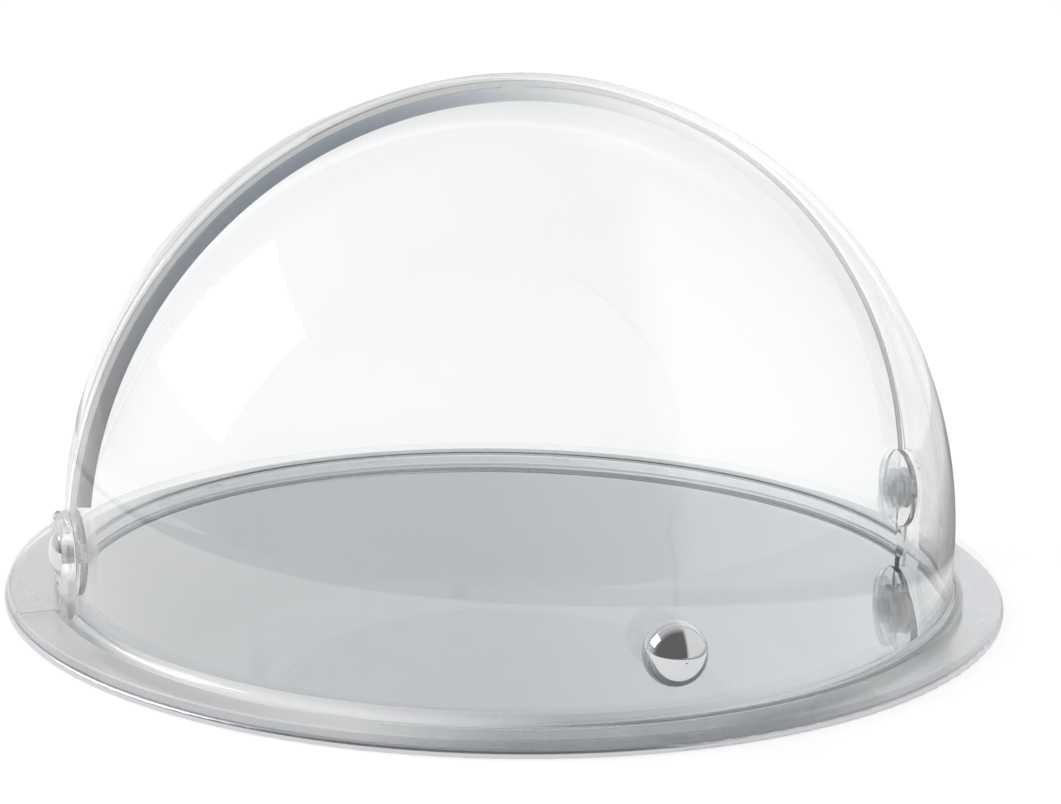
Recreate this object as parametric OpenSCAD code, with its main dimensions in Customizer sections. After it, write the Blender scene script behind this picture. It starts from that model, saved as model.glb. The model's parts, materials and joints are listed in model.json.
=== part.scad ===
// Round buffet food cover: a clear fixed rear shell and a clear rolling lid on a polished tray.
// Frame: millimetres, +Z up, origin at the centre of the tray's underside.
// The lid rolls back about the X axis through the dome's centre. The front is towards -Y.

/* [Dome] */
// Outer radius of the rolling lid
dome_r = 190; // [160:1:220]
// Wall thickness of the rolling lid
lid_wall = 2.8; // [2.2:0.1:4]
// Wall thickness of the rear cover
rear_wall = 2.4; // [2:0.1:4]
// Running gap between the lid and the rear cover inside it
shell_gap = 0.8; // [0.7:0.05:1.2]
// Angle by which the lid's edge laps over the rear cover, in degrees
lid_overlap = 3; // [2:0.25:4]

/* [Flange] */
// Width of the base flange outside the lid's wall
flange_w = 20.6; // [18:0.1:32]
// Thickness of the base flange
flange_t = 2.8; // [2.4:0.1:4]
// Radius of the fillet between wall and flange
foot_fillet = 4.5; // [3:0.25:6]
// Radius of the raised bead along the flange's outer edge
bead_r = 0.9; // [0.6:0.1:2]
// Gap between the flange and the tray, held open by the bumpers
flange_lift = 0.4; // [0.3:0.1:1]

/* [Rear rim] */
// Radial depth of the stiffening band inside the rear cover's rim
band_d = 5.4; // [2.4:0.1:7]
// Width of the stiffening band, front to back
band_w = 6; // [4:0.5:10]
// Clear height between the band's ends and the pivot plates
band_clear = 5; // [3:0.5:10]
// Arc of the guide rib on top of the rear cover's rim, in degrees
rib_arc = 55; // [30:1:70]
// Width of the guide rib, front to back
rib_w = 4; // [3:0.5:6]
// Running gap between the guide rib and the lid
rib_clear = 0.35; // [0.3:0.05:0.5]
// Width of the nib at the top of the rim
nib_w = 10; // [6:0.5:12]
// Height of the nib
nib_h = 3.6; // [2.4:0.1:5]
// How far the nib stands forward of the rim
nib_t = 1.5; // [1:0.1:2]
// How far the nib lies inside the two faces of the rear cover's wall
nib_inset = 0.3; // [0.2:0.1:0.6]

/* [Pivots] */
// Radius of the round ears about the pivots
ear_r = 17.5; // [15:0.5:20]
// Clear height between the ears and the foot fillet
ear_clear = 2; // [0.4:0.1:4]
// How far the lid's ears stand out of its wall
ear_out = 2.75; // [2:0.25:5]
// Extra thickness inside the rear cover's ears
ear_pad = 1.6; // [1:0.1:3]
// Radius of the friction washers
washer_r = 9; // [7:0.25:11]
// Radius of the pivot screws' shanks
screw_r = 3; // [2.5:0.1:3.5]
// Radius of the pivot screws' heads
head_r = 5.6; // [5:0.1:6]
// Height of the pivot screws' heads
head_h = 1.6; // [1.2:0.1:1.8]
// How far the domed caps reach past the screw heads' edges
cap_wall = 3.6; // [3.2:0.1:4.5]
// Thickness of the domed caps over the screw heads
cap_top = 1.8; // [1.6:0.1:3]
// Wall thickness of the pivot bushes
bush_wall = 1.5; // [1:0.1:2]
// Radius of the spacers inside the rear cover
spacer_r = 9; // [7:0.25:11]
// Length of the spacers
spacer_l = 2.4; // [1.6:0.1:6]
// Length of the backing plates, top to bottom
plate_l = 27.5; // [24:0.5:34]
// Width of the backing plates
plate_w = 14; // [13:0.5:16]
// Thickness of the backing plates
plate_t = 3; // [2.8:0.1:4]
// Distance across the flats of the pivot nuts
nut_af = 10; // [9:0.25:11]
// Depth of the pockets that hold the nuts in the backing plates
nut_seat = 2; // [1.6:0.1:2.2]
// Thickness of the nuts' closed ends
nut_end = 0.9; // [0.6:0.1:1.5]

/* [Knob] */
// Radius of the ball knob
knob_r = 12.5; // [9:0.1:13]
// Depth of the flat seat cut from the ball
knob_cut = 2.4; // [1.8:0.1:3]
// Angle of the knob above the pivot axis, in degrees
knob_tilt = 1.5; // [1:0.1:4]
// Radius of the collar under the knob
collar_r = 5.5; // [4.5:0.1:6]
// Thickness of the collar
collar_t = 1.8; // [1:0.1:2]
// Radius of the knob screw's shank
knob_screw_r = 2; // [1.6:0.1:2.4]
// How far the knob screw reaches into the ball
knob_thread = 8; // [6:0.5:10]
// Radius of the knob screw's head
knob_head_r = 4; // [3.4:0.1:4.5]
// Height of the knob screw's head
knob_head_h = 2.4; // [2:0.1:3]
// Radius of the washer inside the lid
knob_washer_r = 6; // [5:0.1:6.5]
// Thickness of the washer inside the lid
knob_washer_t = 1.2; // [0.8:0.1:2]

/* [Tray] */
// Height of the tray's rolled edge
tray_h = 3.2; // [2.8:0.1:5]
// Thickness of the tray's sheet
sheet_t = 0.9; // [0.7:0.1:1.4]
// Width of the tray's rolled edge
hem_w = 2.6; // [2.4:0.1:4]
// Radius of the round corners of the tray's rolled edge
hem_r = 1.2; // [0.8:0.1:1.3]
// How far the tray reaches past the flange
tray_edge = 1; // [0.8:0.1:4]

/* [Bumpers] */
// Angle between neighbouring bumpers, in degrees
bumper_step = 26; // [20:1:32]
// Length of each bumper along the flange
bumper_l = 9; // [6:0.5:12]
// Width of each bumper across the flange
bumper_w = 6; // [4:0.5:8]
// Depth of the pockets that hold the bumpers
bumper_pocket = 0.7; // [0.5:0.1:1.6]
// Distance from the flange's outer edge to the bumpers
bumper_inset = 4; // [3:0.5:6]

/* [Hidden] */
$fn = 144;
// Facets of the large circle that bounds the thin arcs along the rim
rim_fn = 432;
// Radial clearance of turning and threaded fits
fit = 0.05;
// Clearance of parts that are slid or bonded into a seat
seat_fit = 0.1;
// Depth of the flat seats cut in the lid for the knob's washer and collar
knob_spot = 0.15;
// Length of cuts that pass right through
through = 60;
// Overlap of volumes that are joined or cut
eps = 0.5;

lid_in = dome_r - lid_wall;
rear_r = lid_in - shell_gap;
rear_in = rear_r - rear_wall;
flange_r = dome_r + flange_w;
tray_r = flange_r + tray_edge;
flange_z = tray_h + flange_lift;
flange_top = flange_z + flange_t;
pivot_z = flange_top + foot_fillet + ear_clear + ear_r;

// Places along the pivot axis, from the dome's centre outwards
ear_in_x = rear_in - ear_pad;
washer_x = sqrt(rear_r * rear_r - ear_r * ear_r) - seat_fit;
ear_out_x = dome_r + ear_out;
head_x = ear_out_x + seat_fit;
cap_r = head_r + cap_wall;
cap_h = head_h + cap_top;
plate_x = ear_in_x - spacer_l - plate_t;
nut_x = plate_x - nut_end;
nut_r = nut_af / 2 / cos(30);
bush_r = screw_r + bush_wall;

// Places along the knob's axis, from the dome's centre outwards
knob_washer_x = lid_in + knob_spot - knob_washer_t;
collar_x = dome_r - knob_spot;
knob_seat = knob_r - knob_cut;
knob_seat_x = collar_x + collar_t;
knob_x = knob_seat_x + knob_seat;
knob_tip_x = knob_seat_x + knob_thread;
knob_hole_r = knob_screw_r + seat_fit;

// Stiffening band and bumpers
band_out = rear_in - fit;
band_start = asin((plate_l / 2 + band_clear) / band_out);
bumper_from_r = flange_r - bumper_inset - bumper_w;
bumper_top = flange_z + bumper_pocket;

clear_tint = [0.86, 0.91, 0.95, 0.4];
steel_tint = [0.78, 0.79, 0.8];
chrome_tint = [0.88, 0.89, 0.91];
silicone_tint = [0.9, 0.92, 0.93, 0.6];

// Quarter disc above the dome's equator, in the plane of the profile
module quarter_disc(r) {
    translate([0, pivot_z])
        intersection() {
            circle(r);
            square(r);
        }
}

// Profile of a dome with its skirt, foot fillet, flange and edge bead
module dome_profile(r, wall) {
    difference() {
        union() {
            quarter_disc(r);
            translate([0, flange_z])
                square([r, pivot_z - flange_z]);
            translate([0, flange_z])
                square([flange_r, flange_t]);
            translate([r, flange_top])
                difference() {
                    square(foot_fillet);
                    translate([foot_fillet, foot_fillet])
                        circle(foot_fillet);
                }
            translate([flange_r - bead_r, flange_top])
                circle(bead_r);
        }
        quarter_disc(r - wall);
        translate([0, flange_z - eps])
            square([r - wall, pivot_z - flange_z + eps]);
    }
}

// Everything behind a plane through the pivot axis, leaning back by an angle
module behind_pivots(lean) {
    size = 2 * tray_r;
    translate([0, 0, pivot_z])
        rotate([-lean, 0, 0])
            translate([-size / 2, 0, -size / 2])
                cube(size);
}

// Everything in front of the vertical plane through the pivot axis
module before_pivots() {
    size = 2 * tray_r;
    translate([-size / 2, -size, pivot_z - size / 2])
        cube(size);
}

// Children drawn along +Z from the dome's centre, turned to the right-hand pivot
module on_right_pivot() {
    translate([0, 0, pivot_z])
        rotate([0, 90, 0])
            children();
}

// Children drawn at the right-hand pivot, repeated at the left
module on_both_sides() {
    children();
    mirror([1, 0, 0])
        children();
}

// Children drawn along +Z from the dome's centre, turned to the knob
module on_knob_axis() {
    translate([0, 0, pivot_z])
        rotate([90 - knob_tilt, 0, 0])
            children();
}

// Ring with a bore, from one height to another
module ring(r, bore, from, to) {
    difference() {
        translate([0, 0, from])
            cylinder(r = r, h = to - from);
        translate([0, 0, from - eps])
            cylinder(r = bore, h = to - from + 2 * eps);
    }
}

// Part of a ring about the Y axis, from the rim's plane backwards, inside a sphere
module rim_arc(r_in, r_out, depth, from, arc) {
    translate([0, 0, pivot_z])
        rotate([90, 0, 0])
            rotate([0, 0, from])
                rotate_extrude(angle = arc)
                    intersection() {
                        translate([r_in, -depth])
                            square([r_out - r_in + eps, depth]);
                        circle(r_out, $fn = rim_fn);
                    }
}

// Blocks on the flange's underside, three about the middle of one half
module bumper_blocks(middle, grow, height) {
    for (step = [-1:1])
        rotate([0, 0, middle + step * bumper_step])
            translate([bumper_from_r - grow, -bumper_l / 2 - grow, bumper_top - height])
                cube([bumper_w + 2 * grow, bumper_l + 2 * grow, height]);
}

module tray() {
    color(steel_tint)
        rotate_extrude() {
            translate([0, tray_h - sheet_t])
                square([tray_r - hem_r, sheet_t]);
            translate([tray_r - hem_w, 0])
                square([hem_w - hem_r, tray_h]);
            translate([tray_r - hem_r, hem_r])
                square([hem_r, tray_h - 2 * hem_r]);
            for (z = [hem_r, tray_h - hem_r])
                translate([tray_r - hem_r, z])
                    circle(hem_r);
        }
}

// Nib at the top of the rim: a root in the wall, and a lip that hangs in front of the band
module rim_nib() {
    root = rear_wall - 2 * nib_inset;
    top = pivot_z + rear_r - nib_inset;
    translate([-nib_w / 2, -nib_t, top - root])
        cube([nib_w, nib_t + eps, root]);
    translate([-nib_w / 2, -nib_t, top - nib_h])
        cube([nib_w, nib_t - fit, nib_h]);
}

module rear_cover() {
    color(clear_tint)
        difference() {
            union() {
                difference() {
                    rotate_extrude()
                        dome_profile(rear_r, rear_wall);
                    before_pivots();
                }
                on_both_sides()
                    on_right_pivot()
                        translate([0, 0, ear_in_x])
                            cylinder(r = ear_r, h = washer_x - ear_in_x);
                rim_arc(rear_r - eps, lid_in - rib_clear, rib_w, 90 - rib_arc / 2, rib_arc);
                rim_nib();
            }
            on_both_sides()
                on_right_pivot() {
                    translate([0, 0, washer_x])
                        cylinder(r = washer_r + seat_fit, h = through);
                    translate([0, 0, ear_in_x - eps])
                        cylinder(r = screw_r + seat_fit, h = through);
                }
            bumper_blocks(90, seat_fit, bumper_pocket + eps);
        }
}

module rear_rim_band() {
    color(clear_tint)
        rim_arc(rear_in - band_d, band_out, band_w, band_start, 180 - 2 * band_start);
}

module bumpers(middle) {
    color(silicone_tint)
        bumper_blocks(middle, 0, bumper_pocket + flange_lift);
}

module rear_bumpers() {
    bumpers(90);
}

module lid_bumpers() {
    bumpers(-90);
}

// Straight tongue from the lid's ear down to the flange
module lid_tongue() {
    translate([lid_in, -ear_r, flange_z + eps])
        cube([ear_out_x - lid_in, ear_r, pivot_z - flange_z - eps]);
}

module rolling_lid() {
    color(clear_tint)
        difference() {
            union() {
                difference() {
                    union() {
                        rotate_extrude()
                            dome_profile(dome_r, lid_wall);
                        on_both_sides()
                            lid_tongue();
                    }
                    behind_pivots(lid_overlap);
                }
                on_both_sides()
                    on_right_pivot()
                        translate([0, 0, lid_in])
                            cylinder(r = ear_r, h = ear_out_x - lid_in);
            }
            on_both_sides()
                on_right_pivot() {
                    translate([0, 0, ear_in_x])
                        cylinder(r = ear_r, h = lid_in - ear_in_x);
                    translate([0, 0, ear_in_x])
                        cylinder(r = bush_r + fit, h = through);
                }
            on_knob_axis() {
                translate([0, 0, ear_in_x])
                    cylinder(r = knob_hole_r, h = through);
                translate([0, 0, ear_in_x])
                    cylinder(r = knob_washer_r + seat_fit, h = lid_in + knob_spot - ear_in_x);
                translate([0, 0, collar_x])
                    cylinder(r = collar_r + seat_fit, h = through);
            }
            bumper_blocks(-90, seat_fit, bumper_pocket + eps);
        }
}

module knob() {
    color(chrome_tint)
        on_knob_axis()
            difference() {
                translate([0, 0, knob_x])
                    sphere(knob_r);
                translate([-knob_r, -knob_r, knob_seat_x - 2 * knob_r])
                    cube(2 * knob_r);
                translate([0, 0, knob_seat_x - eps])
                    cylinder(r = knob_screw_r + fit, h = knob_thread + 2 * eps);
            }
}

module knob_collar() {
    color(chrome_tint)
        on_knob_axis()
            ring(collar_r, knob_hole_r, collar_x, collar_x + collar_t);
}

module knob_washer() {
    color(silicone_tint)
        on_knob_axis()
            ring(knob_washer_r, knob_hole_r, knob_washer_x, knob_washer_x + knob_washer_t);
}

module knob_screw() {
    head_from = knob_washer_x - knob_head_h;
    color(steel_tint)
        on_knob_axis()
            difference() {
                union() {
                    translate([0, 0, head_from])
                        cylinder(r = knob_head_r, h = knob_head_h);
                    translate([0, 0, knob_washer_x - eps])
                        cylinder(r = knob_screw_r, h = knob_tip_x - knob_washer_x + eps);
                }
                translate([0, 0, head_from - eps])
                    cylinder(r = knob_screw_r, h = knob_head_h / 2 + eps, $fn = 6);
            }
}

// Domed cap, hollow over the screw's head
module pivot_cap() {
    dome = (cap_r * cap_r + cap_h * cap_h) / (2 * cap_h);
    color(chrome_tint)
        on_right_pivot()
            difference() {
                intersection() {
                    translate([0, 0, head_x + cap_h - dome])
                        sphere(dome);
                    translate([0, 0, head_x])
                        cylinder(r = cap_r + eps, h = cap_h + eps);
                }
                translate([0, 0, head_x - eps])
                    cylinder(r = head_r + seat_fit, h = head_h + eps);
            }
}

module pivot_screw() {
    color(clear_tint)
        on_right_pivot() {
            translate([0, 0, plate_x])
                cylinder(r = screw_r, h = head_x - plate_x + eps);
            translate([0, 0, head_x])
                cylinder(r = head_r, h = head_h);
        }
}

module pivot_bush() {
    color(clear_tint)
        on_right_pivot()
            ring(bush_r, screw_r + fit, lid_in, ear_out_x);
}

module pivot_washer() {
    color(clear_tint)
        on_right_pivot()
            ring(washer_r, screw_r + seat_fit, washer_x, lid_in - seat_fit);
}

module pivot_spacer() {
    color(clear_tint)
        on_right_pivot()
            ring(spacer_r, screw_r + seat_fit, ear_in_x - spacer_l, ear_in_x);
}

// Plate with round ends, standing upright, with a pocket for the nut
module pivot_plate() {
    color(clear_tint)
        on_right_pivot()
            difference() {
                translate([0, 0, plate_x])
                    linear_extrude(plate_t) {
                        square([plate_l - plate_w, plate_w], center = true);
                        for (end = [-1, 1])
                            translate([end * (plate_l - plate_w) / 2, 0])
                                circle(d = plate_w);
                    }
                translate([0, 0, plate_x - eps])
                    cylinder(r = nut_r + seat_fit, h = nut_seat + eps, $fn = 6);
                translate([0, 0, plate_x - eps])
                    cylinder(r = screw_r + seat_fit, h = plate_t + 2 * eps);
            }
}

// Hexagon nut with a closed end, let into the backing plate
module pivot_nut() {
    color(clear_tint)
        on_right_pivot()
            difference() {
                translate([0, 0, nut_x])
                    cylinder(r = nut_r, h = nut_end + nut_seat, $fn = 6);
                translate([0, 0, plate_x - fit])
                    cylinder(r = screw_r + fit, h = nut_seat + fit + eps);
            }
}

module left() {
    mirror([1, 0, 0])
        children();
}

tray();
rear_cover();
rear_rim_band();
rear_bumpers();
rolling_lid();
lid_bumpers();
knob();
knob_collar();
knob_screw();
knob_washer();
left() pivot_cap();  // left_pivot_cap
left() pivot_screw();  // left_pivot_screw
left() pivot_bush();  // left_pivot_bush
left() pivot_washer();  // left_pivot_washer
left() pivot_spacer();  // left_pivot_spacer
left() pivot_plate();  // left_pivot_plate
left() pivot_nut();  // left_pivot_nut
pivot_cap();  // right_pivot_cap
pivot_screw();  // right_pivot_screw
pivot_bush();  // right_pivot_bush
pivot_washer();  // right_pivot_washer
pivot_spacer();  // right_pivot_spacer
pivot_plate();  // right_pivot_plate
pivot_nut();  // right_pivot_nut
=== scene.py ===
import json
import math

import bmesh
import bpy
from mathutils import Matrix, Vector


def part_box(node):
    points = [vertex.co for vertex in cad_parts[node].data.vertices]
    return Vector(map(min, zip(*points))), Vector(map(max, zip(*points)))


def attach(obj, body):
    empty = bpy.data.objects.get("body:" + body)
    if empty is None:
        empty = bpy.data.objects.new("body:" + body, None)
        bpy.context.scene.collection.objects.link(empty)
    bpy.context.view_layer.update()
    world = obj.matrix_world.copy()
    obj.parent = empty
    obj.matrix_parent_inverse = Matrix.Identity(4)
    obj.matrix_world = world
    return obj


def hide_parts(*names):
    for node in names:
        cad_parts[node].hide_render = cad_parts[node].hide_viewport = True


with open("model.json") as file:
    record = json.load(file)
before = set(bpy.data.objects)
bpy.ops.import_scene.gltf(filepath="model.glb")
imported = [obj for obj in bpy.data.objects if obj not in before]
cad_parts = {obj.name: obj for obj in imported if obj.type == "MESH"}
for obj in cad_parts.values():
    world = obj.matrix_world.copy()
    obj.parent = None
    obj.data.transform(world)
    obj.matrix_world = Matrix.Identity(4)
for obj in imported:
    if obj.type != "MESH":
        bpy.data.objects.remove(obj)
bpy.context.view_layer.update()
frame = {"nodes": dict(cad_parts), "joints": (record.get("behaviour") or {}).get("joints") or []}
nodes = frame["nodes"]
scene = bpy.context.scene
scene.view_settings.view_transform = "Standard"

# Camera, at the photograph's viewing angle
IMAGE_W = 1061
FOCAL_PX = 3548.9
SENSOR_W = 36.0
CAMERA_AZIMUTH = math.radians(-18.865)
CAMERA_ELEVATION = math.radians(14.617)
CAMERA_ROLL = math.radians(1.072)
CAMERA_DISTANCE = 1.5
CAMERA_TARGET = Vector((0.0101, 0.0, 0.08092))

# Sizes of the clear shells, in metres
LID_WALL = 0.0028
REAR_WALL = 0.0024
SHELL_GAP = 0.0008
FLANGE_T = 0.0028
FOOT_FILLET = 0.0045
BEAD_R = 0.0009
EDGE_ROUND = 0.0004
RIM_CHAMFER = 0.00025
EAR_ROUND = 0.0011
SATIN_FROM = 0.0006
LID_LEAN = math.radians(3.0)
RIB_HALF_ARC = math.radians(27.5)
RIB_W = 0.004
RIB_CLEAR = 0.00035
NIB_W = 0.01
NIB_H = 0.0036
NIB_T = 0.0015
NIB_INSET = 0.0003
SCREW_R = 0.003
SEAT_FIT = 0.0001
TURN_FIT = 0.00005
KNOB_TILT = math.radians(1.5)
KNOB_HOLE_R = 0.0021
BAND_D = 0.0054
BAND_ROUND = 0.0006

# How far a solid reaches into the wall that it joins, and past the wall that it cuts
SINK = 0.0005
CUT_PAST = 0.001
SEAT_PAST = 0.01

# Fineness of the meshes
SPIN_STEPS = 240
ARC_STEPS = 72
DISC_STEPS = 96
FILLET_STEPS = 10
BEAD_STEPS = 12
EDGE_STEPS = 4
EAR_ROUND_STEPS = 5
RIB_STEPS = 60
BAND_STEPS = 160
HOLE_STEPS = 48
SHARP_ANGLE = math.radians(30.0)

# Material slots of the shells
CUT_EDGE = 1
SATIN = 2
FOOT = 3

# Clear plastics: their refraction, and the place, distances and sums of X and Y at which they change
PLASTIC_IOR = 1.49
# Painted shade on the flange and ears: grey around this place, fading over these distances, and hazier
# towards the front left along these sums of X and Y
PAINTED_SHADE_PLACE = (-0.01, -0.2, 0.0)
PAINTED_SHADE_FADE = (0.05, 0.11)
CLEAR_FADE = (-0.05, 0.1)
# Painted highlight on the lid's foot: where it fades, and where its material starts, as sums of X and Y
FOOT_FADE = (-0.266, -0.225)
FOOT_FROM = -0.2
# Where the band's painted dark reflection fades to clear, along X
BAND_ENDS = (-0.19, 0.19)

# Places that the frame gives
lid_low, lid_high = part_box("rolling_lid")
PIVOT_Z = next(j for j in frame["joints"] if j["name"] == "lid_roll")["pos_m"][2]
DOME_R = lid_high.z - PIVOT_Z
FLANGE_R = lid_high.x
FLANGE_Z = lid_low.z
FLANGE_TOP = FLANGE_Z + FLANGE_T
LID_IN = DOME_R - LID_WALL
REAR_R = LID_IN - SHELL_GAP
EAR_R = -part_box("rear_cover")[0].y
EAR_IN_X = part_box("right_pivot_spacer")[1].x
EAR_OUT_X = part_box("right_pivot_bush")[1].x
BUSH_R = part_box("right_pivot_bush")[1].y
WASHER_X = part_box("right_pivot_washer")[0].x
WASHER_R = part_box("right_pivot_washer")[1].y
SATIN_RING = (LID_IN - 0.001, LID_IN + 0.002)

# Floor, which shows a round bright table in reflections
FLOOR_HALF = 6.0
FLOOR_Z = -0.0002
FLOOR_TONE = 0.33
FLOOR_GLOW = 0.72
TABLE_MIDDLE = (-0.39, -0.23, FLOOR_Z)
TABLE_R = 0.64
TABLE_SOFT = 0.01
RIGHT_GLOW = 0.55
RIGHT_FADE = (0.3, 0.45)
BACK_FADE = (0.35, 0.5)

# Surroundings: their strengths, and the parts of a direction along which they change
MANY_TURNS = 0.75
FILL = 0.9
ROOM_DARK = 0.2
ROOM_FADE = (0.0, 0.55)
BACKDROP_LEFT = 0.84
BACKDROP_RIGHT = 1.14
BACKDROP_FADE = (0.3, 0.46)
WINDOW_GLOW = 0.95
WINDOW_FADE = (0.3, 0.5)

# Lamp
LAMP_PLACE = Vector((-0.95, 0.38, 0.68))
LAMP_AIM = Vector((0.0, 0.0, 0.1))
LAMP_SIZE = (0.7, 0.6)
LAMP_POWER = 6.0


def add_node(tree, kind, inputs=None, **settings):
    """A new node, with its settings, and with its inputs set to values or linked to sockets."""
    made = tree.nodes.new(kind)
    for name, value in settings.items():
        setattr(made, name, value)
    for name, value in (inputs or {}).items():
        socket = made.inputs[name]
        if isinstance(value, bpy.types.NodeSocket):
            tree.links.new(value, socket)
        else:
            socket.default_value = value
    return made


def new_material(name):
    """A material with its node tree and its Principled node."""
    made = bpy.data.materials.new(name)
    made.use_nodes = True
    return made, made.node_tree, made.node_tree.nodes["Principled BSDF"]


def object_point(tree):
    """The surface point in the part's own frame, in metres."""
    return add_node(tree, "ShaderNodeTexCoord").outputs["Object"]


def noise(tree, scale, detail=3.0, stretch=None):
    """Noise from 0 to 1 over the part, with this many features a metre."""
    point = object_point(tree)
    if stretch is not None:
        point = add_node(tree, "ShaderNodeMapping", {"Vector": point, "Scale": stretch}).outputs["Vector"]
    made = add_node(tree, "ShaderNodeTexNoise", {"Vector": point, "Scale": scale, "Detail": detail})
    return made.outputs["Fac"]


def spread(tree, value, low, high, start=0.3, end=0.7):
    """A value from start to end, mapped to a value from low to high."""
    made = add_node(tree, "ShaderNodeMapRange", {
        "Value": value, "From Min": start, "From Max": end, "To Min": low, "To Max": high})
    return made.outputs["Result"]


def two_colours(tree, share, first, second):
    """The first colour where share is 0 and the second where it is 1."""
    made = add_node(tree, "ShaderNodeMix", data_type="RGBA", inputs={"Factor": share})
    made.inputs[6].default_value = (*first, 1.0)
    made.inputs[7].default_value = (*second, 1.0)
    return made.outputs[2]


def bump(tree, height, distance):
    """A normal from a height between 0 and 1, where 1 is this many metres."""
    made = add_node(tree, "ShaderNodeBump", {"Height": height, "Distance": distance, "Strength": 1.0})
    return made.outputs["Normal"]


def choose(tree, share, first, second):
    """A number: the first where share is 0 and the second where it is 1."""
    made = add_node(tree, "ShaderNodeMix", {0: share, 2: first, 3: second}, data_type="FLOAT")
    return made.outputs[0]


def times(tree, first, second):
    """The product of two numbers."""
    return add_node(tree, "ShaderNodeMath", {0: first, 1: second}, operation="MULTIPLY").outputs[0]


def larger(tree, first, second):
    """The larger of two numbers."""
    return add_node(tree, "ShaderNodeMath", {0: first, 1: second}, operation="MAXIMUM").outputs[0]


def link(tree, socket, shader, name):
    """Feeds a socket into one of the shader's inputs."""
    tree.links.new(socket, shader.inputs[name])


def parts_of(tree, vector):
    """The X, Y and Z sockets of a vector."""
    return add_node(tree, "ShaderNodeSeparateXYZ", {0: vector}).outputs


def front_left(tree, low, high, start, end):
    """A number from low to high along the line from the front left to the back right."""
    way = parts_of(tree, object_point(tree))
    across = add_node(tree, "ShaderNodeMath", {0: way["X"], 1: way["Y"]}, operation="ADD").outputs[0]
    return spread(tree, across, low, high, start, end)


def away_from(tree, place, low, high, start, end):
    """A number from low to high with the distance from a place."""
    made = add_node(tree, "ShaderNodeVectorMath", {0: object_point(tree), 1: place}, operation="DISTANCE")
    return spread(tree, made.outputs["Value"], low, high, start, end)


def let_lamps_through(tree, shader):
    """Lamps light what is behind the clear piece."""
    path = add_node(tree, "ShaderNodeLightPath")
    clear = add_node(tree, "ShaderNodeBsdfTransparent", {"Color": (0.92, 0.94, 0.95, 1.0)})
    mixed = add_node(tree, "ShaderNodeMixShader", {0: path.outputs["Is Shadow Ray"]})
    tree.links.new(shader.outputs["BSDF"], mixed.inputs[1])
    tree.links.new(clear.outputs["BSDF"], mixed.inputs[2])
    tree.links.new(mixed.outputs["Shader"], tree.nodes["Material Output"].inputs["Surface"])


def clear_plastic(name, first, second, wave):
    """Clear moulded plastic with faint waves, a faint tint and smears."""
    made, tree, shader = new_material(name)
    shader.inputs["IOR"].default_value = PLASTIC_IOR
    shader.inputs["Transmission Weight"].default_value = 1.0
    link(tree, two_colours(tree, noise(tree, 9.0), first, second), shader, "Base Color")
    link(tree, spread(tree, noise(tree, 14.0, 5.0), 0.0, 0.02, 0.45, 0.75), shader, "Roughness")
    link(tree, bump(tree, noise(tree, 16.0, 1.0), wave), shader, "Normal")
    let_lamps_through(tree, shader)
    return made


def moulded(name, rough, grain):
    """A plastic with a soft gloss and a fine moulding grain, before it has its colour and its alpha."""
    made, tree, shader = new_material(name)
    shader.inputs["IOR"].default_value = PLASTIC_IOR
    link(tree, spread(tree, noise(tree, 60.0, 5.0), *rough), shader, "Roughness")
    link(tree, bump(tree, noise(tree, 400.0, 3.0), grain), shader, "Normal")
    return made, tree, shader


def hazy_plastic(name, opacity, first, second, rough, grain):
    """Clear plastic that scatters a little."""
    made, tree, shader = moulded(name, rough, grain)
    shader.inputs["Alpha"].default_value = opacity
    link(tree, two_colours(tree, noise(tree, 40.0), first, second), shader, "Base Color")
    return made


def satin_plastic_painted_shade(name):
    """Hazy satin plastic of the flange and the ears, with painted shade: its colour is greyer and its haze
    thicker at the front, lighter and clearer towards the back.
    """
    made, tree, shader = moulded(name, (0.18, 0.26), 0.000004)
    # Painted shade: the colour turns grey near a place at the front, and the haze thickens towards the front
    # left
    painted_light_share = away_from(tree, PAINTED_SHADE_PLACE, 0.0, 1.0, *PAINTED_SHADE_FADE)
    link(tree, two_colours(tree, painted_light_share, (0.36, 0.375, 0.4), (0.95, 0.955, 0.96)), shader, "Base Color")
    link(tree, front_left(tree, 0.32, 0.08, *CLEAR_FADE), shader, "Alpha")
    return made


def painted_highlight_foot(name):
    """Painted highlight on the foot of the lid's wall at the front left: the clear plastic turns white there
    and fades into the clear plastic at both sides.
    """
    made = clear_plastic(name, (0.99, 0.993, 0.995), (0.98, 0.985, 0.99), 0.00002)
    tree = made.node_tree
    # Painted highlight: less transmission, so the near-white colour shows, at the front left
    clearness = front_left(tree, 0.35, 1.0, *FOOT_FADE)
    link(tree, clearness, tree.nodes["Principled BSDF"], "Transmission Weight")
    return made


def polished_steel(name, first, second, rough_low, rough_high):
    """Polished sheet steel with fine scratches."""
    made, tree, shader = new_material(name)
    shader.inputs["Metallic"].default_value = 1.0
    link(tree, two_colours(tree, noise(tree, 7.0), first, second), shader, "Base Color")
    link(tree, spread(tree, noise(tree, 35.0, 6.0), rough_low, rough_high), shader, "Roughness")
    link(tree, bump(tree, noise(tree, 900.0, 2.0, (1.0, 0.02, 1.0)), 0.000002), shader, "Normal")
    return made


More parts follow.
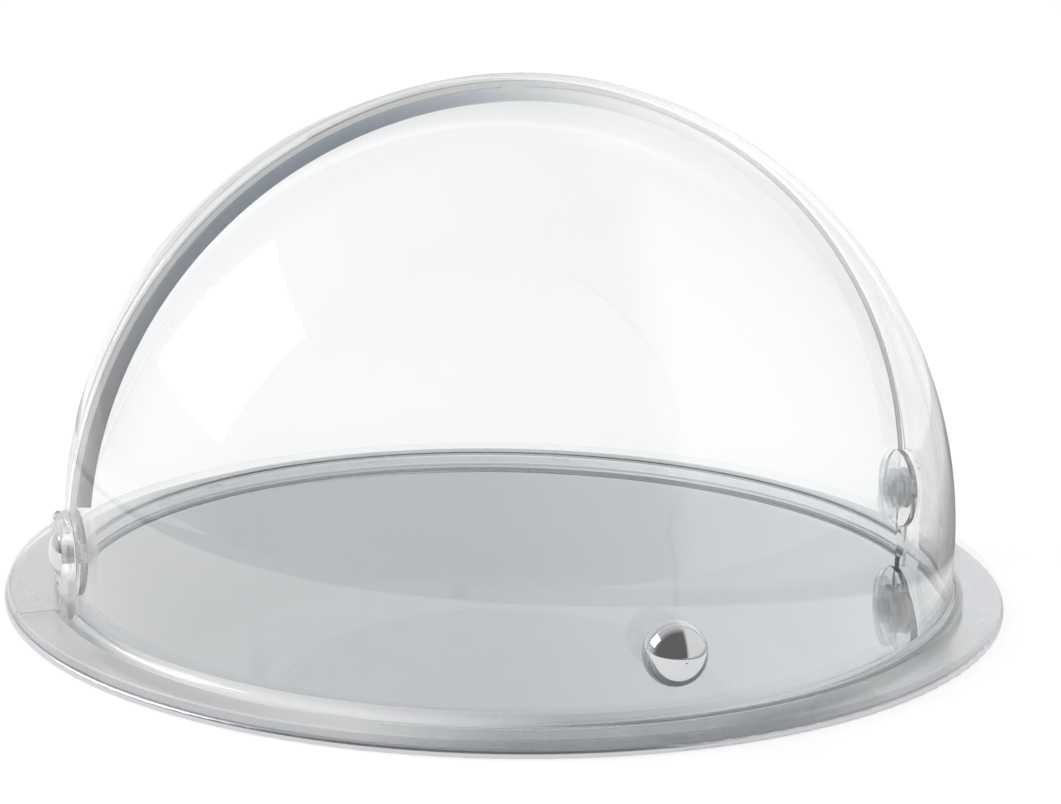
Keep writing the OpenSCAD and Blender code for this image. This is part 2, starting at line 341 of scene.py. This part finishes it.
def band_tint_painted_reflection(name):
    """Clear band seen along its length, with a faint grey-blue tint of its own and a painted reflection of
    the dark room: dark smoky grey-blue at the left, clear at the right.
    """
    made, tree, shader = new_material(name)
    shader.inputs["IOR"].default_value = PLASTIC_IOR
    # Painted reflection of the dark room: dark smoky grey-blue and nearly opaque at the left, fading to a
    # faint clear tint at the right
    along = spread(tree, parts_of(tree, object_point(tree))["X"], 0.0, 1.0, *BAND_ENDS)
    ramp = add_node(tree, "ShaderNodeValToRGB", {0: along})
    stops = ramp.color_ramp.elements
    stops[0].position, stops[0].color = 0.04, (0.03, 0.035, 0.045, 0.85)
    stops[1].position, stops[1].color = 0.74, (0.4, 0.46, 0.52, 0.05)
    stops.new(0.13).color = (0.035, 0.08, 0.15, 0.85)
    stops.new(0.2).color = (0.02, 0.09, 0.185, 0.85)
    stops.new(0.32).color = (0.015, 0.09, 0.195, 0.84)
    stops.new(0.43).color = (0.02, 0.095, 0.2, 0.56)
    stops.new(0.5).color = (0.05, 0.12, 0.21, 0.33)
    stops.new(0.62).color = (0.13, 0.19, 0.25, 0.17)
    link(tree, ramp.outputs["Color"], shader, "Base Color")
    link(tree, ramp.outputs["Alpha"], shader, "Alpha")
    link(tree, spread(tree, noise(tree, 60.0, 4.0), 0.02, 0.08), shader, "Roughness")
    link(tree, bump(tree, noise(tree, 60.0, 2.0), 0.00004), shader, "Normal")
    return made


def tray_steel(name):
    """Mirror-polished sheet steel, satin under the flange and on the rolled edge."""
    made, tree, shader = new_material(name)
    shader.inputs["Metallic"].default_value = 1.0
    level = {0: object_point(tree), 1: (1.0, 1.0, 0.0)}
    flat = add_node(tree, "ShaderNodeVectorMath", level, operation="MULTIPLY").outputs[0]
    reach = add_node(tree, "ShaderNodeVectorMath", {0: flat}, operation="LENGTH").outputs["Value"]
    satin = spread(tree, reach, 0.0, 1.0, *SATIN_RING)
    mirror = spread(tree, noise(tree, 35.0, 6.0), 0.02, 0.04)
    rough = choose(tree, satin, mirror, spread(tree, noise(tree, 90.0, 5.0), 0.26, 0.34))
    tone = choose(tree, satin, times(tree, noise(tree, 7.0), 0.4), 1.0)
    link(tree, two_colours(tree, tone, (0.53, 0.543, 0.56), (0.64, 0.65, 0.67)), shader, "Base Color")
    link(tree, rough, shader, "Roughness")
    link(tree, bump(tree, noise(tree, 900.0, 2.0, (1.0, 0.02, 1.0)), 0.0000008), shader, "Normal")
    return made


def chrome(name):
    """Bright chrome with faint handling marks."""
    made, tree, shader = new_material(name)
    shader.inputs["Metallic"].default_value = 1.0
    tone = two_colours(tree, noise(tree, 120.0), (0.62, 0.63, 0.65), (0.68, 0.69, 0.7))
    link(tree, tone, shader, "Base Color")
    link(tree, spread(tree, noise(tree, 300.0, 6.0), 0.01, 0.05), shader, "Roughness")
    return made


def dress(material, *names):
    """Gives these CAD nodes a material."""
    for name in names:
        slots = nodes[name].data.materials
        slots.clear()
        slots.append(material)


def both(name):
    """The names of a left and a right node."""
    return "left_" + name, "right_" + name


def arc(centre, radius, start, end, steps):
    """Points on an arc about a centre, from one angle to another in degrees."""
    turns = [math.radians(start + (end - start) * i / steps) for i in range(steps + 1)]
    return [(centre[0] + radius * math.cos(t), centre[1] + radius * math.sin(t)) for t in turns]


def dome_profile(radius, wall):
    """Radius and height along a shell's section, from its outer pole round the flange to its inner pole."""
    inner = radius - wall
    foot = FLANGE_TOP + FOOT_FILLET
    low = FLANGE_Z + EDGE_ROUND
    points = arc((0.0, PIVOT_Z), radius, 90, 0, ARC_STEPS)
    points += arc((radius + FOOT_FILLET, foot), FOOT_FILLET, 180, 270, FILLET_STEPS)
    points += arc((FLANGE_R - BEAD_R, FLANGE_TOP), BEAD_R, 180, 0, BEAD_STEPS)
    points += arc((FLANGE_R - EDGE_ROUND, low), EDGE_ROUND, 0, -90, EDGE_STEPS)
    points += arc((inner + EDGE_ROUND, low), EDGE_ROUND, 270, 180, EDGE_STEPS)
    points += arc((0.0, PIVOT_Z), inner, 0, 90, ARC_STEPS)
    return points


def spin(profile):
    """A closed skin, by turning a section about the Z axis."""
    made = bmesh.new()
    turns = [math.tau * i / SPIN_STEPS for i in range(SPIN_STEPS)]
    rings = []
    for radius, z in profile:
        on_axis = radius < 1e-7
        ring = [(radius * math.cos(t), radius * math.sin(t), z) for t in turns]
        rings.append([made.verts.new(place) for place in ([(0.0, 0.0, z)] if on_axis else ring)])
    for first, second in zip(rings, rings[1:]):
        for i in range(SPIN_STEPS):
            corners = [ring[k % len(ring)] for ring, k in
                       ((first, i), (first, i + 1), (second, i + 1), (second, i))]
            made.faces.new(list(dict.fromkeys(corners)))
    bmesh.ops.recalc_face_normals(made, faces=made.faces[:])
    return made


def cut_away(made, normal):
    """Cuts off what lies past a plane through the pivots, and closes the cut with a chamfered rim."""
    start = Vector((0.0, 0.0, PIVOT_Z)) - normal * RIM_CHAMFER
    everything = made.verts[:] + made.edges[:] + made.faces[:]
    bmesh.ops.bisect_plane(made, geom=everything, dist=1e-7, plane_co=start, plane_no=normal,
                           clear_outer=True)
    open_edges = [edge for edge in made.edges if edge.is_boundary]
    faces = bmesh.ops.contextual_create(made, geom=open_edges)["faces"]
    bmesh.ops.recalc_face_normals(made, faces=made.faces[:])
    bmesh.ops.inset_region(made, faces=faces, thickness=RIM_CHAMFER, depth=RIM_CHAMFER,
                           use_even_offset=True)
    for face in faces:
        face.material_index = CUT_EDGE


def prism(made, outline, low, high, rounding=0.0, slot=0):
    """Adds a solid with an outline of (y, z) points between two X values; its far edge may be round."""
    ends = [[made.verts.new((x, y, z)) for y, z in outline] for x in (low, high)]
    count = len(outline)
    sides = [made.faces.new((ends[0][i], ends[0][(i + 1) % count], ends[1][(i + 1) % count], ends[1][i]))
             for i in range(count)]
    caps = [made.faces.new(end) for end in ends]
    bmesh.ops.recalc_face_normals(made, faces=sides + caps)
    for face in sides + caps:
        face.material_index = slot
    if rounding:
        bmesh.ops.bevel(made, geom=caps[1].edges[:], offset=rounding, segments=EAR_ROUND_STEPS, profile=0.5,
                        affect="EDGES")


def on_both_sides(made, outline, low, high, rounding=0.0):
    """Adds a solid at the right and its mirror image at the left."""
    prism(made, outline, low, high, rounding)
    prism(made, outline, -low, -high, rounding)


def circle(radius):
    """Outline of a round piece about the pivot axis."""
    return arc((0.0, PIVOT_Z), radius, 0, 360, DISC_STEPS)[:-1]


def lid_ear_outline():
    """Round ear with a straight tongue down to the flange, cut back as the lid's edge leans."""
    low = FLANGE_Z + FLANGE_T / 2
    lean = math.degrees(LID_LEAN)
    back = -(PIVOT_Z - low) * math.tan(LID_LEAN)
    return [(-EAR_R, low), (back, low)] + arc((0.0, PIVOT_Z), EAR_R, -90 - lean, 180, DISC_STEPS)


def nib_outline():
    """Root of the nib in the wall, and its lip that hangs in front of the band."""
    top = PIVOT_Z + REAR_R - NIB_INSET
    root = top - REAR_WALL + 2 * NIB_INSET
    lip = top - NIB_H
    return [(-NIB_T, lip), (-TURN_FIT, lip), (-TURN_FIT, root), (SINK, root), (SINK, top), (-NIB_T, top)]


def rim_arc(made, section, start, end, steps):
    """Adds a solid by turning a section of (radius, y) points about the dome's centre, in the rim's plane."""
    turns = [start + (end - start) * i / steps for i in range(steps + 1)]
    rows = [[made.verts.new((r * math.cos(t), y, PIVOT_Z + r * math.sin(t))) for r, y in section]
            for t in turns]
    count = len(section)
    faces = [made.faces.new((a[i], a[(i + 1) % count], b[(i + 1) % count], b[i]))
             for a, b in zip(rows, rows[1:]) for i in range(count)]
    faces += [made.faces.new(rows[0]), made.faces.new(rows[-1])]
    bmesh.ops.recalc_face_normals(made, faces=faces)


def as_object(name, made, materials):
    """A mesh object from a bmesh, which is used up."""
    mesh = bpy.data.meshes.new(name)
    made.to_mesh(mesh)
    made.free()
    for material in materials:
        mesh.materials.append(material)
    piece = bpy.data.objects.new(name, mesh)
    scene.collection.objects.link(piece)
    return piece


def combine(piece, made, operation):
    """Joins or cuts a piece with the solids in a bmesh, which is used up."""
    tool = as_object("tool", made, piece.data.materials)
    modifier = piece.modifiers.new("tool", "BOOLEAN")
    modifier.operation = operation
    modifier.solver = "EXACT"
    modifier.object = tool
    evaluated = piece.evaluated_get(bpy.context.evaluated_depsgraph_get())
    mesh = bpy.data.meshes.new_from_object(evaluated)
    piece.modifiers.clear()
    piece.data = mesh
    bpy.data.objects.remove(tool)


def make_satin(piece):
    """Gives the satin material, with its painted shade, to the flange and to what stands out of the wall, and
    the foot at the front left the material with the painted highlight.
    """
    for face in piece.data.polygons:
        middle = face.center
        on_foot = middle.z < FLANGE_TOP + FOOT_FILLET
        if middle.xy.length > DOME_R + (FOOT_FILLET if on_foot else SATIN_FROM):
            face.material_index = SATIN
        elif on_foot and middle.xy.length > DOME_R and middle.x + middle.y < FOOT_FROM:
            face.material_index = FOOT


def finish_piece(piece, body, replaced):
    """Smooth faces with crisp edges, and the body that the piece rides on."""
    piece.data.shade_smooth()
    piece.data.set_sharp_from_angle(angle=SHARP_ANGLE)
    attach(piece, body)
    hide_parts(replaced)


def make_rear_shell():
    """The fixed rear quarter dome with its ears, guide rib and nib."""
    skin = spin(dome_profile(REAR_R, REAR_WALL))
    cut_away(skin, Vector((0.0, -1.0, 0.0)))
    piece = as_object("rear_shell", skin, (shell, edge, satin, satin))
    added = bmesh.new()
    on_both_sides(added, circle(EAR_R), EAR_IN_X, WASHER_X)
    low, high = REAR_R - SINK, LID_IN - RIB_CLEAR
    rib = [(low, 0.0), (high, 0.0), (high, RIB_W), (low, RIB_W)]
    rim_arc(added, rib, math.pi / 2 - RIB_HALF_ARC, math.pi / 2 + RIB_HALF_ARC, RIB_STEPS)
    combine(piece, added, "UNION")
    nib = bmesh.new()
    prism(nib, nib_outline(), -NIB_W / 2, NIB_W / 2, slot=CUT_EDGE)
    combine(piece, nib, "UNION")
    removed = bmesh.new()
    on_both_sides(removed, circle(SCREW_R + SEAT_FIT), EAR_IN_X - CUT_PAST, WASHER_X + SEAT_PAST)
    on_both_sides(removed, circle(WASHER_R + SEAT_FIT), WASHER_X, WASHER_X + SEAT_PAST)
    combine(piece, removed, "DIFFERENCE")
    make_satin(piece)
    return piece


def make_lid_shell():
    """The rolling front quarter dome with its ears and tongues."""
    skin = spin(dome_profile(DOME_R, LID_WALL))
    cut_away(skin, Vector((0.0, math.cos(LID_LEAN), -math.sin(LID_LEAN))))
    piece = as_object("lid_shell", skin, (shell, shell, satin, foot))
    added = bmesh.new()
    on_both_sides(added, lid_ear_outline(), LID_IN, EAR_OUT_X, EAR_ROUND)
    combine(piece, added, "UNION")
    removed = bmesh.new()
    on_both_sides(removed, circle(EAR_R), EAR_IN_X, LID_IN)
    on_both_sides(removed, circle(BUSH_R + TURN_FIT), EAR_IN_X, EAR_OUT_X + CUT_PAST)
    along = Matrix.Translation((0.0, 0.0, PIVOT_Z)) @ Matrix.Rotation(math.pi / 2 - KNOB_TILT, 4, "X")
    hole = along @ Matrix.Translation((0.0, 0.0, DOME_R))
    bmesh.ops.create_cone(removed, cap_ends=True, segments=HOLE_STEPS, radius1=KNOB_HOLE_R,
                          radius2=KNOB_HOLE_R, depth=4 * LID_WALL, matrix=hole)
    combine(piece, removed, "DIFFERENCE")
    make_satin(piece)
    return piece


def make_rim_band():
    """The stiffening band inside the rear dome's rim, with rounded edges."""
    low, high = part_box("rear_rim_band")
    outer = high.z - PIVOT_Z
    inner = outer - BAND_D
    width = high.y
    start = math.asin((low.z - PIVOT_Z) / inner)
    outer_back = math.sqrt(outer ** 2 - width ** 2)
    r = BAND_ROUND
    section = arc((inner + r, r), r, 180, 270, EDGE_STEPS)
    section += arc((outer - r, r), r, 270, 360, EDGE_STEPS)
    section += arc((outer_back - r, width - r), r, 0, 90, EDGE_STEPS)
    section += arc((inner + r, width - r), r, 90, 180, EDGE_STEPS)
    made = bmesh.new()
    rim_arc(made, section, start, math.pi - start, BAND_STEPS)
    return as_object("rim_band", made, (band,))


def make_camera():
    """The camera at the photograph's viewing angle."""
    level = Vector((math.sin(CAMERA_AZIMUTH), -math.cos(CAMERA_AZIMUTH), 0.0)) * math.cos(CAMERA_ELEVATION)
    back = level + Vector((0.0, 0.0, math.sin(CAMERA_ELEVATION)))
    right = (-back).cross(Vector((0.0, 0.0, 1.0))).normalized()
    up = right.cross(-back)
    tilted_right = right * math.cos(CAMERA_ROLL) + up * math.sin(CAMERA_ROLL)
    tilted_up = up * math.cos(CAMERA_ROLL) - right * math.sin(CAMERA_ROLL)
    data = bpy.data.cameras.new("camera")
    data.sensor_width = SENSOR_W
    data.lens = FOCAL_PX / IMAGE_W * SENSOR_W
    data.clip_start = 0.01
    made = bpy.data.objects.new("camera", data)
    turned = Matrix((tilted_right, tilted_up, back)).transposed().to_4x4()
    made.matrix_world = Matrix.Translation(CAMERA_TARGET + back * CAMERA_DISTANCE) @ turned
    scene.collection.objects.link(made)
    scene.camera = made


def share_of_paths(tree):
    """Three sockets: 1 for rays that show the background, that gloss turned, and that it turned again."""
    path = add_node(tree, "ShaderNodeLightPath")
    shown = larger(tree, path.outputs["Is Camera Ray"], path.outputs["Is Glossy Ray"])
    shown = larger(tree, shown, path.outputs["Is Transmission Ray"])
    turns = path.outputs["Glossy Depth"]
    return shown, spread(tree, turns, 0.0, 1.0, 0.0, 1.0), spread(tree, turns, 0.0, 1.0, 1.0, 2.0)


def make_floor():
    """A plain pale floor that keeps the part's shadow."""
    mesh = bpy.data.meshes.new("floor")
    corners = [(-1, -1), (1, -1), (1, 1), (-1, 1)]
    mesh.from_pydata([(x * FLOOR_HALF, y * FLOOR_HALF, FLOOR_Z) for x, y in corners], [], [(0, 1, 2, 3)])
    floor = bpy.data.objects.new("floor", mesh)
    scene.collection.objects.link(floor)
    made, tree, shader = new_material("floor_white")
    shader.inputs["Base Color"].default_value = (FLOOR_TONE, FLOOR_TONE, FLOOR_TONE, 1.0)
    shader.inputs["Roughness"].default_value = 0.9
    shader.inputs["Specular IOR Level"].default_value = 0.0
    shader.inputs["Emission Color"].default_value = (1.0, 1.0, 1.0, 1.0)
    shown, turned, often = share_of_paths(tree)
    way = parts_of(tree, object_point(tree))
    top = away_from(tree, TABLE_MIDDLE, 1.0, 0.0, TABLE_R - TABLE_SOFT, TABLE_R + TABLE_SOFT)
    right = spread(tree, way["X"], 0.0, RIGHT_GLOW, *RIGHT_FADE)
    behind = spread(tree, way["Y"], 0.0, 1.0, *BACK_FADE)
    table = choose(tree, often, larger(tree, top, larger(tree, right, behind)), 1.0)
    glow = choose(tree, turned, FLOOR_GLOW, times(tree, table, FLOOR_GLOW))
    link(tree, times(tree, shown, glow), shader, "Emission Strength")
    mesh.materials.append(made)


def make_world():
    """White behind the part, with a darker room in front for reflections."""
    world = bpy.data.worlds.new("studio")
    world.use_nodes = True
    scene.world = world
    tree = world.node_tree
    sky = tree.nodes["Background"]
    sky.inputs["Color"].default_value = (1.0, 1.0, 1.0, 1.0)
    shown, turned, often = share_of_paths(tree)
    way = parts_of(tree, add_node(tree, "ShaderNodeTexCoord").outputs["Generated"])
    behind = spread(tree, way["Y"], ROOM_DARK, 1.0, *ROOM_FADE)
    towards = spread(tree, way["X"], BACKDROP_LEFT, BACKDROP_RIGHT, *BACKDROP_FADE)
    backdrop = times(tree, behind, towards)
    right = spread(tree, way["X"], 0.0, WINDOW_GLOW, *WINDOW_FADE)
    room = choose(tree, often, larger(tree, backdrop, right), MANY_TURNS)
    seen = choose(tree, turned, 1.0, room)
    tree.links.new(choose(tree, shown, FILL, seen), sky.inputs["Strength"])


def make_lamp():
    """A soft box at the left, hidden from rays that gloss turned twice or that a surface scattered."""
    data = bpy.data.lights.new("left_window", "AREA")
    data.shape = "RECTANGLE"
    data.size, data.size_y = LAMP_SIZE
    data.energy = LAMP_POWER
    data.use_nodes = True
    tree = data.node_tree
    path = add_node(tree, "ShaderNodeLightPath").outputs
    first_turn = spread(tree, path["Glossy Depth"], 1.0, 0.0, 1.0, 2.0)
    first_scatter = spread(tree, path["Diffuse Depth"], 1.0, 0.0, 0.0, 1.0)
    tree.links.new(times(tree, first_turn, first_scatter), tree.nodes["Emission"].inputs["Strength"])
    made = bpy.data.objects.new("left_window", data)
    made.location = LAMP_PLACE
    made.rotation_mode = "QUATERNION"
    made.rotation_quaternion = (LAMP_AIM - LAMP_PLACE).to_track_quat("-Z", "Y")
    made.visible_camera = False
    scene.collection.objects.link(made)


# Materials
shell = clear_plastic("clear_plastic", (0.993, 0.996, 0.997), (0.986, 0.992, 0.995), 0.0001)
# Rim band, with a painted dark reflection at the left
band = band_tint_painted_reflection("clear_band")
# Satin flange and ears, with painted shade at the front
satin = satin_plastic_painted_shade("satin_plastic_painted_shade")
# Foot of the lid's wall, with a painted highlight at the front left
foot = painted_highlight_foot("painted_highlight_foot")
fitting = hazy_plastic("clear_fitting", 0.25, (0.9, 0.92, 0.94), (0.95, 0.96, 0.97), (0.04, 0.08), 0.000002)
edge = hazy_plastic("cut_edge", 0.8, (0.95, 0.965, 0.98), (0.98, 0.985, 0.99), (0.1, 0.2), 0.000002)
silicone = hazy_plastic("clear_silicone", 0.06, (0.93, 0.94, 0.95), (0.97, 0.97, 0.98), (0.2, 0.35),
                        0.00002)
steel = tray_steel("polished_steel")
screw_steel = polished_steel("screw_steel", (0.55, 0.55, 0.56), (0.63, 0.63, 0.64), 0.15, 0.3)
bright = chrome("chrome")

# Finer pieces, and the finish of the other nodes
finish_piece(make_rear_shell(), "cover", "rear_cover")
finish_piece(make_lid_shell(), "lid", "rolling_lid")
finish_piece(make_rim_band(), "cover", "rear_rim_band")
dress(steel, "tray")
dress(fitting, *both("pivot_spacer"), *both("pivot_plate"), *both("pivot_nut"))
dress(fitting, *both("pivot_bush"), *both("pivot_washer"), *both("pivot_screw"))
dress(silicone, "rear_bumpers", "lid_bumpers", "knob_washer")
dress(bright, "knob", "knob_collar", *both("pivot_cap"))
dress(screw_steel, "knob_screw")

# Stage
make_camera()
make_floor()
make_world()
make_lamp()
